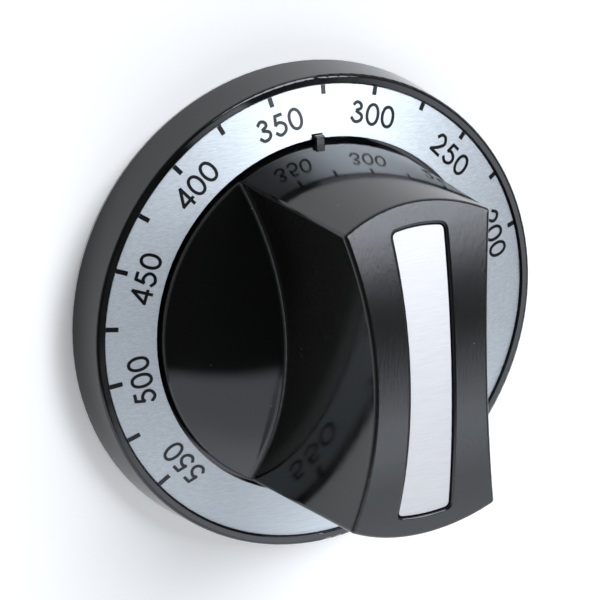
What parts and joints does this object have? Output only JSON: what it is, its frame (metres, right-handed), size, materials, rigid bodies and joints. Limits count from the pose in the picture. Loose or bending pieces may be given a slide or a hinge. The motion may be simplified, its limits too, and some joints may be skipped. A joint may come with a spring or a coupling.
{
  "type": "oven thermostat knob",
  "caption": "Oven thermostat knob: round skirt with a marked metal dial ring, domed hub, waisted grip bar with a metal strip, and a push-on socket for a flatted stem.",
  "frame": {"origin": "on the knob's axis, in the plane of the skirt's back rim", "axes": "+Z along the axis from the cooker's panel to the user, +Y along the grip towards the index lug, +X across the grip"},
  "size_m": [0.07, 0.07, 0.0396],
  "materials": {
    "moulding": "glossy moulded thermoset",
    "dial": "fine brushed, clear anodised",
    "strip": "fine brushed, clear anodised",
    "clip": "rolled spring steel"
  },
  "bodies": {
    "root": {"knob_body": "moulding", "dial_ring": "dial", "grip_strip": "strip", "spring_clip": "clip"}
  },
  "joints": []
}
